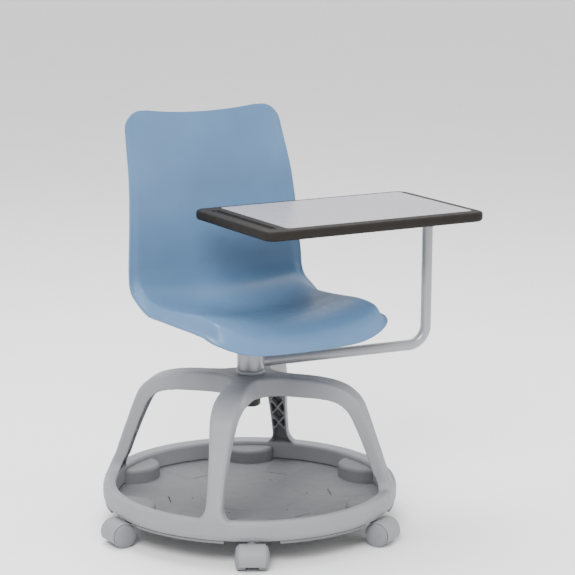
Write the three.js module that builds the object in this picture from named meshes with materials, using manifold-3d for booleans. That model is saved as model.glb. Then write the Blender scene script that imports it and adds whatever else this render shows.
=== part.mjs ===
// Student desk chair: a swivel seat shell and a swivel tablet arm on one column, over a round
// rolling base whose tray holds a bag. Millimetres, +Z up, floor at z = 0, the sitter faces -Y.
import * as THREE from "three";
import { mergeVertices } from "three/examples/jsm/utils/BufferGeometryUtils.js";
import Module from "manifold-3d";

const wasm = await Module();
wasm.setup();

// ---------------------------------------------------------------- driving dimensions (mm)
const GAP = 0.3;
// The column stands off centre so that the whole chair's box is centred over the origin.
const COLUMN_X = -47.2;
const COLUMN_Y = 0;

// base cage
// The rolling base stands turned a little from the seat, as a swivelling one does.
const BASE_TURN = 1.5;
const RING_BOTTOM_Z = 52.3;
const RING_OUTER_R = 298.5;
const RING_INNER_R = 272;
const WALL = 4;
const LEG_AZIMUTHS = [45, 135, -135, -45];
const LEG_CORNER = 4;
const HUB_TOP_Z = 311;
const HUB_BOTTOM_Z = 272;
const HUB_LEG_HALF = 24;
const HUB_FILLET = 60;
const HUB_BOSS_R = 26;
const HUB_BOSS_BOTTOM_Z = 266;

// tray
const TRAY_TOP_Z = 52;
const TRAY_PLATE = 3.5;
const TRAY_LIP_Z = 47;
const TRAY_RIB_Z = 44.5;
const TRAY_R = 294.5;
const TRAY_FLAT_R = 286;
const TRAY_PAD_R = 100;
const TRAY_PAD_TOP_Z = 52.6;
const MOUND_R = 57.5;
const MOUND_TOP_Z = 80;
const POCKET_R = 54.5;
const TRAY_SCREW_AZIMUTHS = [0, 120, -120];
const TRAY_SCREW_R = 2.2;
const TRAY_SCREW_TIP_Z = 68;

// casters
const CASTER_AZIMUTHS = [30, 90, 150, -150, -90, -30];
const STEM_CIRCLE_R = 283;
const STEM_R = 5.5;
const STEM_TOP_Z = 84;
const TRAIL = 18;
const WHEEL_R = 23.5;
const WHEEL_IN = 12.5;
const WHEEL_OUT = 33.5;
const AXLE_R = 3;
const HOOD_R = 26.5;
const HOOD_HALF = 26;
const HOOD_CUT_Z = 12;
const FORK_HALF = 12;

// column
const POST_R = 19;
const POST_BORE_R = 16.5;
const POST_BOTTOM_Z = 248.3;
const POST_TOP_Z = 404;
const SLEEVE_R = 27;
const FOOT_RING_TOP_Z = 318;
const ARM_COLLAR_TOP_Z = 372;

// tablet arm
const ARM_AZIMUTH = -9.2;
const ARM_TUBE_R = 11;
const ARM_TUBE_WALL = 2.2;
const ARM_START_R = 20.5;
const ARM_START_Z = 332.5;
const ARM_RISE = 0.0227;
const ARM_REACH = 387.6;
const ARM_BEND_R = 40;
const BEND_STEPS = 6;
const ARM_TOP_Z = 609.5;

// tablet
const TABLET_X = 170;
const TABLET_Y = -60;
const TABLET_LENGTH = 505;
const TABLET_DEPTH = 309;
const TABLET_TOP_Z = 638;
const TABLET_BOTTOM_Z = 618.5;
const TABLET_CORNER_R = 24;
const INSET_MIN_X = -26;
const INSET_MAX_X = 406;
const INSET_MIN_Y = -189;
const INSET_MAX_Y = 84;
const INSET_THICK = 3;
const PIVOT_R = 17;
const PIVOT_CUP_Z = 590;
const PIVOT_PLATE_Z = 614.5;
const TABLET_SCREWS = [[-52, -48], [24, -48], [24, 48], [-52, 48]];
const TABLET_SCREW_R = 2.3;
const TABLET_SCREW_TIP_Z = 632;

// seat shell
const SHELL_THICK = 5;
const SHELL_ACROSS = 16;
const SHELL_ALONG = 26;
const SEAT_PLATE_Z = 422.3;
const SEAT_PLATE_TOP_Z = 426;
const SEAT_SCREW_R = 2.6;
const SEAT_SCREW_TIP_Z = 433.5;
// Seat screw positions, and the height each moulded boss reaches into the shell.
const SEAT_SCREWS = [[-70, -60, 442], [70, -60, 442], [70, 75, 436.5], [-70, 75, 436.5]];

const rad = THREE.MathUtils.degToRad;

// ---------------------------------------------------------------- solids and booleans
function solid(geometry) {
  const bare = geometry.clone();
  for (const name of Object.keys(bare.attributes)) {
    if (name !== "position") bare.deleteAttribute(name);
  }
  const merged = mergeVertices(bare, 1e-4);
  const mesh = new wasm.Mesh({
    numProp: 3,
    vertProperties: new Float32Array(merged.attributes.position.array),
    triVerts: new Uint32Array(merged.index.array),
  });
  mesh.merge();
  return new wasm.Manifold(mesh);
}

function geometryOf(manifold) {
  const mesh = manifold.getMesh();
  const geometry = new THREE.BufferGeometry();
  geometry.setAttribute("position", new THREE.BufferAttribute(new Float32Array(mesh.vertProperties), 3));
  geometry.setIndex(new THREE.BufferAttribute(new Uint32Array(mesh.triVerts), 1));
  return geometry;
}

function union(solids) {
  return solids.reduce((whole, next) => whole.add(next));
}

// A body of revolution about +Z from [radius, z] points.
function turned(profile, segments) {
  const points = profile.map(([r, z]) => new THREE.Vector2(r, z));
  const geometry = new THREE.LatheGeometry(points, segments);
  geometry.rotateX(Math.PI / 2);
  return solid(geometry);
}

function ringProfile(points) {
  return [...points, points[0]];
}

function cylinder(radius, z0, z1, segments) {
  return turned([[0, z0], [radius, z0], [radius, z1], [0, z1]], segments);
}

function box(x0, x1, y0, y1, z0, z1) {
  const geometry = new THREE.BoxGeometry(x1 - x0, y1 - y0, z1 - z0);
  geometry.translate((x0 + x1) / 2, (y0 + y1) / 2, (z0 + z1) / 2);
  return solid(geometry);
}

function plate(shape, z0, z1, curveSegments) {
  const geometry = new THREE.ExtrudeGeometry(shape, {
    depth: z1 - z0,
    bevelEnabled: false,
    curveSegments,
  });
  geometry.translate(0, 0, z0);
  return solid(geometry);
}

function roundedRectangle(x0, x1, y0, y1, radius) {
  const shape = new THREE.Shape();
  shape.moveTo(x0 + radius, y0);
  shape.lineTo(x1 - radius, y0);
  shape.absarc(x1 - radius, y0 + radius, radius, -Math.PI / 2, 0, false);
  shape.lineTo(x1, y1 - radius);
  shape.absarc(x1 - radius, y1 - radius, radius, 0, Math.PI / 2, false);
  shape.lineTo(x0 + radius, y1);
  shape.absarc(x0 + radius, y1 - radius, radius, Math.PI / 2, Math.PI, false);
  shape.lineTo(x0, y0 + radius);
  shape.absarc(x0 + radius, y0 + radius, radius, Math.PI, 1.5 * Math.PI, false);
  return shape;
}

// A closed skin through rings of equal point count, capped at both ends with a fan.
function loft(rings) {
  const count = rings[0].length;
  const positions = [];
  const index = [];
  for (const ring of rings) {
    for (const point of ring) positions.push(...point);
  }
  for (let i = 0; i + 1 < rings.length; i += 1) {
    for (let j = 0; j < count; j += 1) {
      const a = i * count + j;
      const b = i * count + ((j + 1) % count);
      index.push(a, b, b + count, a, b + count, a + count);
    }
  }
  const last = (rings.length - 1) * count;
  for (let j = 1; j + 1 < count; j += 1) {
    index.push(0, j + 1, j);
    index.push(last, last + j, last + j + 1);
  }
  const geometry = new THREE.BufferGeometry();
  geometry.setAttribute("position", new THREE.BufferAttribute(new Float32Array(positions), 3));
  geometry.setIndex(index);
  return solid(geometry);
}

// ---------------------------------------------------------------- assembly bookkeeping
const chair = new THREE.Group();
chair.name = "student_desk_chair";

const finishes = {
  cage: { color: 0xb2b2b8, roughness: 0.55, metalness: 0.0 },
  tray: { color: 0xa6a6ac, roughness: 0.6, metalness: 0.0 },
  shell: { color: 0x7e9bbd, roughness: 0.5, metalness: 0.0 },
  painted: { color: 0xc3c3c8, roughness: 0.4, metalness: 0.3 },
  steel: { color: 0x9a9ca0, roughness: 0.35, metalness: 0.9 },
  dark: { color: 0x46423e, roughness: 0.55, metalness: 0.0 },
  black: { color: 0x17171a, roughness: 0.6, metalness: 0.0 },
  laminate: { color: 0xc3c1c8, roughness: 0.35, metalness: 0.0 },
  caster: { color: 0x9c9da2, roughness: 0.5, metalness: 0.0 },
};

function add(name, manifold, finish) {
  const geometry = geometryOf(manifold);
  geometry.translate(COLUMN_X, COLUMN_Y, 0);
  const material = new THREE.MeshStandardMaterial(finishes[finish]);
  const mesh = new THREE.Mesh(geometry, material);
  mesh.name = name;
  chair.add(mesh);
}

// ---------------------------------------------------------------- base cage
// Leg stations: outer edge [r, z], inner edge [r, z] and half width of the outer face.
const legStations = [
  { outer: [18, 311], inner: [18, 272], half: 24 },
  { outer: [110, 310], inner: [110, 271], half: 24 },
  { outer: [148, 307], inner: [148, 270.5], half: 25 },
  { outer: [177, 301.5], inner: [170.5, 268], half: 26 },
  { outer: [203, 291], inner: [189.5, 261.5], half: 26 },
  { outer: [227, 270], inner: [207, 245.5], half: 24.5 },
  { outer: [242, 240], inner: [220, 220], half: 21.5 },
  { outer: [256, 203], inner: [232, 191], half: 18.8 },
  { outer: [283, 127], inner: [258, 121], half: 16.3 },
  { outer: [290, 108], inner: [264.5, 106], half: 18.5 },
  { outer: [294.5, 98], inner: [268.5, 97], half: 24 },
  { outer: [297.5, 88], inner: [271.6, 87], half: 44 },
];

function legRing(station, inset, extraDepth) {
  const [outerR, outerZ] = station.outer;
  const [innerR, innerZ] = station.inner;
  const depth = Math.hypot(innerR - outerR, innerZ - outerZ);
  const stepR = (innerR - outerR) / depth;
  const stepZ = (innerZ - outerZ) / depth;
  const half = station.half - inset;
  const corner = inset > 0 ? 1 : LEG_CORNER;
  const section = [
    [-half + corner, inset],
    [-half, inset + corner],
    [-half, depth + extraDepth],
    [half, depth + extraDepth],
    [half, inset + corner],
    [half - corner, inset],
  ];
  return section.map(([side, down]) => [outerR + stepR * down, side, outerZ + stepZ * down]);
}

function legSolid(inset, extraDepth, stations) {
  return loft(stations.map((station) => legRing(station, inset, extraDepth)));
}

// Crossed stiffening ribs inside the channel of the steep part of a leg.
function legRibs(skin) {
  const ribs = [];
  const cells = [[242, 238], [255, 200], [268.5, 162], [282, 124]];
  for (let i = 0; i + 1 < cells.length; i += 1) {
    const [topR, topZ] = cells[i];
    const [lowR, lowZ] = cells[i + 1];
    const length = Math.hypot(lowR - topR, lowZ - topZ);
    const lean = Math.atan2(lowR - topR, topZ - lowZ);
    for (const side of [-1, 1]) {
      const rib = new THREE.BoxGeometry(30, 2.4, Math.hypot(length, 40));
      rib.rotateX(side * Math.atan2(34, length));
      rib.translate(-15, 0, 0);
      rib.rotateY(-lean);
      rib.translate((topR + lowR) / 2 - 3, 0, (topZ + lowZ) / 2);
      ribs.push(solid(rib));
    }
  }
  return union(ribs).intersect(skin);
}

// Plan outline of the hub: a four-armed star with a round fillet between neighbouring arms.
function hubShape(inset) {
  const half = HUB_LEG_HALF - inset;
  const centre = HUB_LEG_HALF + HUB_FILLET;
  const fillet = HUB_FILLET + inset;
  const shape = new THREE.Shape();
  for (let arm = 0; arm < 4; arm += 1) {
    const turn = rad(45 + 90 * arm);
    const at = (x, y) => [x * Math.cos(turn) - y * Math.sin(turn), x * Math.sin(turn) + y * Math.cos(turn)];
    const [x0, y0] = at(centre, -half);
    const [x1, y1] = at(centre, half);
    if (arm === 0) shape.moveTo(x0, y0);
    else shape.lineTo(x0, y0);
    shape.lineTo(x1, y1);
    const [cx, cy] = at(centre, centre);
    shape.absarc(cx, cy, fillet, turn - Math.PI / 2, turn - Math.PI, true);
  }
  return shape;
}

function baseCage() {
  const ring = turned(ringProfile([
    [295, RING_BOTTOM_Z], [RING_OUTER_R, 62], [RING_OUTER_R, 82], [295, 91], [289, 93],
    [275, 89], [RING_INNER_R, 85.5], [RING_INNER_R, RING_BOTTOM_Z],
    [RING_INNER_R + WALL, RING_BOTTOM_Z], [RING_INNER_R + WALL, 85.5], [290, 88.5],
    [294.5, 81], [294.5, 63], [291, RING_BOTTOM_Z],
  ]), 48);
  const parts = [ring];
  for (const azimuth of LEG_AZIMUTHS) {
    const skin = legSolid(0, 0, legStations);
    const channel = legSolid(WALL, 8, legStations);
    const leg = skin.subtract(channel).add(legRibs(skin));
    parts.push(leg.rotate([0, 0, azimuth - 90]));
  }
  const hubSkin = plate(hubShape(0), HUB_BOTTOM_Z, HUB_TOP_Z, 6);
  const hubHollow = plate(hubShape(WALL), HUB_BOTTOM_Z - 10, HUB_TOP_Z - WALL, 6);
  parts.push(hubSkin.subtract(hubHollow));
  let cage = union(parts);
  // The arms' channels run into the hub, so the hub's middle is filled by the post boss alone.
  cage = cage.add(cylinder(HUB_BOSS_R, HUB_BOSS_BOTTOM_Z, HUB_TOP_Z, 32));
  for (const azimuth of CASTER_AZIMUTHS) {
    cage = cage.add(socket(azimuth, 9.5, RING_BOTTOM_Z, 89));
  }
  for (const azimuth of TRAY_SCREW_AZIMUTHS) {
    cage = cage.add(socket(azimuth, 9, RING_BOTTOM_Z, 78));
  }
  cage = cage.subtract(cylinder(POST_R + GAP, 200, 400, 32));
  for (const azimuth of CASTER_AZIMUTHS) {
    cage = cage.subtract(socket(azimuth, STEM_R + GAP, 40, STEM_TOP_Z + GAP));
  }
  for (const azimuth of TRAY_SCREW_AZIMUTHS) {
    cage = cage.subtract(socket(azimuth, TRAY_SCREW_R + GAP, 40, TRAY_SCREW_TIP_Z + GAP));
  }
  return cage;
}

// ---------------------------------------------------------------- tray
// A vertical round piece on the stem circle at an azimuth measured from the front.
function socket(azimuth, radius, z0, z1) {
  const turn = rad(azimuth);
  const piece = cylinder(radius, z0, z1, 12);
  return piece.translate([STEM_CIRCLE_R * Math.sin(turn), -STEM_CIRCLE_R * Math.cos(turn), 0]);
}

function mound(azimuth) {
  const turn = rad(azimuth);
  const outside = turned([
    [0, TRAY_TOP_Z - TRAY_PLATE], [MOUND_R, TRAY_TOP_Z - TRAY_PLATE], [MOUND_R, MOUND_TOP_Z - 5],
    [MOUND_R - 6, MOUND_TOP_Z], [0, MOUND_TOP_Z],
  ], 28);
  return outside.translate([STEM_CIRCLE_R * Math.sin(turn), -STEM_CIRCLE_R * Math.cos(turn), 0]);
}

function pocket(azimuth) {
  const turn = rad(azimuth);
  const hollow = turned([
    [0, 30], [POCKET_R, 30], [POCKET_R, MOUND_TOP_Z - 8], [POCKET_R - 5, MOUND_TOP_Z - 3],
    [0, MOUND_TOP_Z - 3],
  ], 28);
  return hollow.translate([STEM_CIRCLE_R * Math.sin(turn), -STEM_CIRCLE_R * Math.cos(turn), 0]);
}

function traySlots() {
  const cuts = [];
  for (let i = 0; i < 6; i += 1) {
    const slot = box(-20, 20, -1.5, 1.5, 30, 60);
    cuts.push(slot.translate([0, -165, 0]).rotate([0, 0, 60 * i + 8]));
    const hole = cylinder(2.5, 30, 60, 8);
    cuts.push(hole.translate([0, -118, 0]).rotate([0, 0, 60 * i + 8]));
  }
  return union(cuts);
}

function backpackTray() {
  const under = TRAY_TOP_Z - TRAY_PLATE;
  let tray = turned([
    [0, under], [TRAY_FLAT_R, under], [TRAY_FLAT_R, TRAY_LIP_Z], [TRAY_R, TRAY_LIP_Z],
    [TRAY_R, TRAY_TOP_Z], [TRAY_PAD_R, TRAY_TOP_Z], [TRAY_PAD_R, TRAY_PAD_TOP_Z],
    [0, TRAY_PAD_TOP_Z],
  ], 48);
  for (let i = 0; i < 6; i += 1) {
    const rib = box(-1.5, 1.5, -TRAY_FLAT_R - 1, -40, TRAY_RIB_Z, under + 1);
    tray = tray.add(rib.rotate([0, 0, 60 * i]));
  }
  const clearOfRing = cylinder(RING_INNER_R - 1.5, 0, 200, 48);
  for (const azimuth of CASTER_AZIMUTHS) {
    tray = tray.add(mound(azimuth).intersect(clearOfRing));
  }
  for (const azimuth of CASTER_AZIMUTHS) {
    tray = tray.subtract(pocket(azimuth));
  }
  tray = tray.subtract(traySlots());
  for (const azimuth of TRAY_SCREW_AZIMUTHS) {
    tray = tray.subtract(socket(azimuth, TRAY_SCREW_R + GAP, 30, 60));
    tray = tray.subtract(socket(azimuth, 5.8, 30, TRAY_LIP_Z + 3));
  }
  return tray;
}

// A pan-head screw pointing up, its head's underside at headZ.
function screw(headR, headHeight, shankR, headZ, tipZ) {
  return turned([
    [0, headZ - headHeight], [headR * 0.7, headZ - headHeight], [headR, headZ - headHeight * 0.4],
    [headR, headZ], [shankR, headZ], [shankR, tipZ], [0, tipZ],
  ], 12);
}

function turnedBase(piece) {
  return piece.rotate([0, 0, BASE_TURN]);
}

add("base_cage", turnedBase(baseCage()), "cage");
add("backpack_tray", turnedBase(backpackTray()), "tray");
TRAY_SCREW_AZIMUTHS.forEach((azimuth, i) => {
  const turn = rad(azimuth);
  const piece = screw(4.8, 2.2, TRAY_SCREW_R, TRAY_LIP_Z + 3 - GAP, TRAY_SCREW_TIP_Z);
  const place = [STEM_CIRCLE_R * Math.sin(turn), -STEM_CIRCLE_R * Math.cos(turn), 0];
  add(`tray_screw_${i + 1}`, turnedBase(piece.translate(place)), "steel");
});

// ---------------------------------------------------------------- column on the base
add("column_post", turned(ringProfile([
  [POST_BORE_R, POST_BOTTOM_Z], [POST_R, POST_BOTTOM_Z], [POST_R, POST_TOP_Z], [POST_BORE_R, POST_TOP_Z],
]), 32), "steel");
add("column_end_cap", turned([
  [0, 244], [18, 244], [21, 247], [21, 265.5], [POST_R + GAP, 265.5],
  [POST_R + GAP, POST_BOTTOM_Z - GAP], [0, POST_BOTTOM_Z - GAP],
], 32), "black");
add("column_foot_ring", turned(ringProfile([
  [POST_R + GAP, HUB_TOP_Z + GAP], [29, HUB_TOP_Z + GAP], [29, 314.5], [27, FOOT_RING_TOP_Z],
  [POST_R + GAP, FOOT_RING_TOP_Z],
]), 32), "painted");

// ---------------------------------------------------------------- tablet arm
function tubePiece(path, outerR, innerR, steps) {
  const section = new THREE.Shape();
  section.absarc(0, 0, outerR, 0, 2 * Math.PI, false);
  if (innerR > 0) {
    const bore = new THREE.Path();
    bore.absarc(0, 0, innerR, 0, 2 * Math.PI, true);
    section.holes.push(bore);
  }
  return solid(new THREE.ExtrudeGeometry(section, {
    steps,
    curveSegments: 8,
    bevelEnabled: false,
    extrudePath: path,
  }));
}

const bendAngle = -(Math.PI / 2 - Math.atan(ARM_RISE));
const bendCentreX = ARM_REACH - ARM_BEND_R;
const bendStartX = bendCentreX + ARM_BEND_R * Math.cos(bendAngle);
const bendStartZ = ARM_START_Z + ARM_RISE * (bendStartX - ARM_START_R);
const bendCentreZ = bendStartZ - ARM_BEND_R * Math.sin(bendAngle);

// The arm's centreline: a run out from the column, the bend, then the upright under the tablet.
// It takes one step along each straight and BEND_STEPS round the bend.
class ArmPath extends THREE.Curve {
  getPoint(t) {
    const station = t * (BEND_STEPS + 2);
    const start = new THREE.Vector3(ARM_START_R, 0, ARM_START_Z);
    const top = new THREE.Vector3(ARM_REACH, 0, ARM_TOP_Z);
    if (station <= 1) return start.lerp(this.onBend(0), station);
    if (station >= BEND_STEPS + 1) return this.onBend(1).lerp(top, station - BEND_STEPS - 1);
    return this.onBend((station - 1) / BEND_STEPS);
  }

  onBend(share) {
    const angle = bendAngle * (1 - share);
    const x = bendCentreX + ARM_BEND_R * Math.cos(angle);
    const z = bendCentreZ + ARM_BEND_R * Math.sin(angle);
    return new THREE.Vector3(x, 0, z);
  }

  getPointAt(u) {
    return this.getPoint(u);
  }

  getTangentAt(u, target) {
    return this.getTangent(u, target);
  }
}

const sleeveBore = POST_R + GAP;
const collarBody = turned(ringProfile([
  [sleeveBore, FOOT_RING_TOP_Z + GAP], [SLEEVE_R, FOOT_RING_TOP_Z + GAP],
  [SLEEVE_R, ARM_COLLAR_TOP_Z], [sleeveBore, ARM_COLLAR_TOP_Z],
]), 32);
const tubeHole = tubePiece(new THREE.LineCurve3(
  new THREE.Vector3(ARM_START_R - GAP, 0, ARM_START_Z),
  new THREE.Vector3(60, 0, ARM_START_Z + ARM_RISE * (60 - ARM_START_R)),
), ARM_TUBE_R + GAP, 0, 1).rotate([0, 0, ARM_AZIMUTH]);
add("arm_collar", collarBody.subtract(tubeHole), "painted");
const armTube = tubePiece(new ArmPath(), ARM_TUBE_R, ARM_TUBE_R - ARM_TUBE_WALL, BEND_STEPS + 2);
add("arm_tube", armTube.rotate([0, 0, ARM_AZIMUTH]), "painted");

// ---------------------------------------------------------------- tablet
const pivotX = ARM_REACH * Math.cos(rad(ARM_AZIMUTH));
const pivotY = ARM_REACH * Math.sin(rad(ARM_AZIMUTH));

function tabletPivot() {
  const cup = turned([
    [0, ARM_TOP_Z + GAP], [ARM_TUBE_R + GAP, ARM_TOP_Z + GAP], [ARM_TUBE_R + GAP, PIVOT_CUP_Z],
    [PIVOT_R, PIVOT_CUP_Z], [PIVOT_R, PIVOT_PLATE_Z - 5], [PIVOT_R + 5, PIVOT_PLATE_Z + 1],
    [0, PIVOT_PLATE_Z + 1],
  ], 24);
  const flange = plate(roundedRectangle(-62, 34, -58, 58, 12), PIVOT_PLATE_Z, TABLET_BOTTOM_Z - GAP, 4);
  let pivot = cup.add(flange);
  for (const [x, y] of TABLET_SCREWS) {
    pivot = pivot.subtract(cylinder(TABLET_SCREW_R + GAP, 600, 640, 12).translate([x, y, 0]));
  }
  return pivot.translate([pivotX, pivotY, 0]);
}

const tabletX0 = TABLET_X - TABLET_LENGTH / 2;
const tabletX1 = TABLET_X + TABLET_LENGTH / 2;
const tabletY0 = TABLET_Y - TABLET_DEPTH / 2;
const tabletY1 = TABLET_Y + TABLET_DEPTH / 2;

function tabletShape(inset) {
  const corner = TABLET_CORNER_R - inset;
  return roundedRectangle(tabletX0 + inset, tabletX1 - inset, tabletY0 + inset, tabletY1 - inset, corner);
}

function tabletFrame() {
  let frame = plate(tabletShape(0), TABLET_BOTTOM_Z + 3, TABLET_TOP_Z - 2, 4);
  frame = frame.add(plate(tabletShape(2), TABLET_BOTTOM_Z, TABLET_TOP_Z, 4));
  const inset = roundedRectangle(INSET_MIN_X, INSET_MAX_X, INSET_MIN_Y, INSET_MAX_Y, 10);
  frame = frame.subtract(plate(inset, TABLET_TOP_Z - INSET_THICK, TABLET_TOP_Z + 5, 3));
  const groove = roundedRectangle(-60, -44, tabletY0 + 34, tabletY1 - 34, 7.9);
  frame = frame.subtract(plate(groove, TABLET_TOP_Z - 5, TABLET_TOP_Z + 5, 4));
  // The underside is a tray of open pockets between ribs, left solid where the pivot bolts on.
  const floor = TABLET_TOP_Z - INSET_THICK - 3;
  const pocketsX = [[-26, 74], [77, 177], [180, 280]];
  const pocketsY = [[-198, -107], [-104, -16], [-13, 78]];
  for (const [x0, x1] of pocketsX) {
    for (const [y0, y1] of pocketsY) {
      frame = frame.subtract(box(x0, x1, y0, y1, 600, floor));
    }
  }
  for (const [x, y] of TABLET_SCREWS) {
    const pilot = cylinder(TABLET_SCREW_R + GAP, 600, TABLET_SCREW_TIP_Z + GAP, 12);
    frame = frame.subtract(pilot.translate([pivotX + x, pivotY + y, 0]));
  }
  return frame;
}

add("tablet_pivot", tabletPivot(), "dark");
add("tablet_frame", tabletFrame(), "dark");
const topShape = roundedRectangle(
  INSET_MIN_X + GAP, INSET_MAX_X - GAP, INSET_MIN_Y + GAP, INSET_MAX_Y - GAP, 9.7);
add("tablet_top", plate(topShape, TABLET_TOP_Z - INSET_THICK + GAP, TABLET_TOP_Z - 0.2, 4), "laminate");
TABLET_SCREWS.forEach(([x, y], i) => {
  const piece = screw(5, 2.6, TABLET_SCREW_R, PIVOT_PLATE_Z - GAP, TABLET_SCREW_TIP_Z);
  add(`tablet_screw_${i + 1}`, piece.translate([pivotX + x, pivotY + y, 0]), "steel");
});

// ---------------------------------------------------------------- seat
// Centre line of the shell's upper face, from the front lip to the top of the back: [y, z].
const shellLine = [
  [-231, 403], [-229, 412], [-222, 424], [-209, 435], [-190, 443], [-165, 448], [-130, 449],
  [-90, 446], [-45, 441], [0, 437], [45, 435.5], [85, 439], [115, 447], [138, 460], [153, 478],
  [161, 500], [165, 530], [168, 565], [172, 605], [178, 650], [187, 700], [198, 750],
  [209, 790], [218, 824],
];

function shellCurve() {
  const points = shellLine.map(([y, z]) => new THREE.Vector3(0, y, z));
  return new THREE.CatmullRomCurve3(points, false, "centripetal");
}

const seatLine = shellCurve();
const seatLength = seatLine.getLength();

function smooth(low, high, value) {
  const t = Math.min(1, Math.max(0, (value - low) / (high - low)));
  return t * t * (3 - 2 * t);
}

// Half width of the shell at a place along its centre line, 0 at the lip and 1 at the top.
function shellHalfWidth(along) {
  const pan = 200 + 3 * smooth(0, 0.35, along) - 3 * smooth(0.45, 0.59, along);
  return pan - 58 * Math.max(0, along - 0.59);
}

// How far the sides rise towards the sitter, and how far the very edge rolls away again.
function shellCup(along) {
  return 29 - 11 * smooth(0.8, 0.95, along);
}

function shellRoll(along) {
  const pan = 33 - 10 * smooth(0.15, 0.35, along);
  return pan - 11 * smooth(0.38, 0.48, along) - 8 * smooth(0.5, 0.6, along);
}

// How far a point of the shell stands off its centre line. It grows from 0 all along the front
// lip, so the rolled side edge runs into the lip round the corner.
function shellRise(along, edge, start) {
  const bend = shellCup(along) * edge ** 2.4 - shellRoll(along) * smooth(0.88, 1, edge);
  return smooth(0, 0.045, along - start) * bend;
}

// How far a rounded corner is drawn back along the shell.
function cornerDrop(across, half, radius) {
  const over = Math.min(radius, Math.max(0, Math.abs(across) * half - (half - radius)));
  return radius - Math.sqrt(radius * radius - over * over);
}

function shellStart(across) {
  return (0.48 * cornerDrop(across, 200, 110) + 9 * across * across) / seatLength;
}

function shellEnd(across) {
  const dip = 7 * (1 - Math.min(1, (across / 0.7) ** 2));
  return 1 - (cornerDrop(across, 176, 38) + dip) / seatLength;
}

function shellPoint(across, share) {
  const start = shellStart(across);
  const along = start + (shellEnd(across) - start) * share;
  const centre = seatLine.getPointAt(Math.min(1, Math.max(0, along)));
  const tangent = seatLine.getTangentAt(Math.min(1, Math.max(0, along)));
  const rise = shellRise(along, Math.abs(across), start);
  const x = shellHalfWidth(along) * across;
  return new THREE.Vector3(x, centre.y - tangent.z * rise, centre.z + tangent.y * rise);
}

function shellNormal(across, share) {
  const step = 0.004;
  const a0 = Math.max(-1, across - step);
  const a1 = Math.min(1, across + step);
  const s0 = Math.max(0, share - step);
  const s1 = Math.min(1, share + step);
  const du = shellPoint(a1, share).sub(shellPoint(a0, share));
  const dv = shellPoint(across, s1).sub(shellPoint(across, s0));
  return du.cross(dv).normalize();
}

// Sample positions bunched towards both ends of -1..1, where the shell bends most.
function acrossAt(i) {
  const t = (i / SHELL_ACROSS) * 2 - 1;
  return 0.55 * t + 0.45 * Math.sin((t * Math.PI) / 2);
}

function seatShell() {
  const columns = SHELL_ACROSS + 1;
  const rows = SHELL_ALONG + 1;
  const positions = [];
  for (const depth of [0, SHELL_THICK]) {
    for (let j = 0; j < rows; j += 1) {
      for (let i = 0; i < columns; i += 1) {
        const share = j / SHELL_ALONG;
        const point = shellPoint(acrossAt(i), share);
        const normal = shellNormal(acrossAt(i), share);
        positions.push(point.x - normal.x * depth, point.y - normal.y * depth, point.z - normal.z * depth);
      }
    }
  }
  const upper = (i, j) => j * columns + i;
  const lower = (i, j) => rows * columns + j * columns + i;
  const index = [];
  for (let j = 0; j < SHELL_ALONG; j += 1) {
    for (let i = 0; i < SHELL_ACROSS; i += 1) {
      index.push(upper(i, j), upper(i + 1, j), upper(i + 1, j + 1));
      index.push(upper(i, j), upper(i + 1, j + 1), upper(i, j + 1));
      index.push(lower(i, j), lower(i + 1, j + 1), lower(i + 1, j));
      index.push(lower(i, j), lower(i, j + 1), lower(i + 1, j + 1));
    }
  }
  const rim = [];
  for (let i = 0; i < SHELL_ACROSS; i += 1) rim.push([i, 0]);
  for (let j = 0; j < SHELL_ALONG; j += 1) rim.push([SHELL_ACROSS, j]);
  for (let i = SHELL_ACROSS; i > 0; i -= 1) rim.push([i, SHELL_ALONG]);
  for (let j = SHELL_ALONG; j > 0; j -= 1) rim.push([0, j]);
  for (let k = 0; k < rim.length; k += 1) {
    const [i0, j0] = rim[k];
    const [i1, j1] = rim[(k + 1) % rim.length];
    index.push(lower(i0, j0), lower(i1, j1), upper(i1, j1));
    index.push(lower(i0, j0), upper(i1, j1), upper(i0, j0));
  }
  const geometry = new THREE.BufferGeometry();
  geometry.setAttribute("position", new THREE.BufferAttribute(new Float32Array(positions), 3));
  geometry.setIndex(index);
  let shell = solid(geometry);
  for (const [x, y, top] of SEAT_SCREWS) {
    const boss = cylinder(9, SEAT_PLATE_TOP_Z + GAP, top, 14);
    shell = shell.add(boss.translate([x, y, 0]));
  }
  for (const [x, y] of SEAT_SCREWS) {
    const pilot = cylinder(SEAT_SCREW_R + GAP, 420, SEAT_SCREW_TIP_Z + GAP, 12);
    shell = shell.subtract(pilot.translate([x, y, 0]));
  }
  return shell;
}

add("seat_hub", turned([
  [0, POST_TOP_Z + GAP], [sleeveBore, POST_TOP_Z + GAP], [sleeveBore, ARM_COLLAR_TOP_Z + GAP],
  [SLEEVE_R, ARM_COLLAR_TOP_Z + GAP], [SLEEVE_R, 404], [30, 410], [46, 416.5], [46, SEAT_PLATE_Z - GAP],
  [0, SEAT_PLATE_Z - GAP],
], 32), "painted");

function seatPlate() {
  let metal = plate(roundedRectangle(-88, 88, -82, 96, 20), SEAT_PLATE_Z, SEAT_PLATE_TOP_Z, 4);
  for (const [x, y] of SEAT_SCREWS) {
    metal = metal.subtract(cylinder(SEAT_SCREW_R + GAP, 400, 440, 12).translate([x, y, 0]));
  }
  return metal;
}

add("seat_plate", seatPlate(), "black");
add("seat_shell", seatShell(), "shell");
SEAT_SCREWS.forEach(([x, y], i) => {
  const piece = screw(5.5, 3, SEAT_SCREW_R, SEAT_PLATE_Z - GAP, SEAT_SCREW_TIP_Z);
  add(`seat_screw_${i + 1}`, piece.translate([x, y, 0]), "steel");
});

// ---------------------------------------------------------------- casters
// Built with the stem on the z axis and the axle trailing towards +X, along Y.
function alongY(manifold) {
  return manifold.rotate([90, 0, 0]);
}

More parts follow.
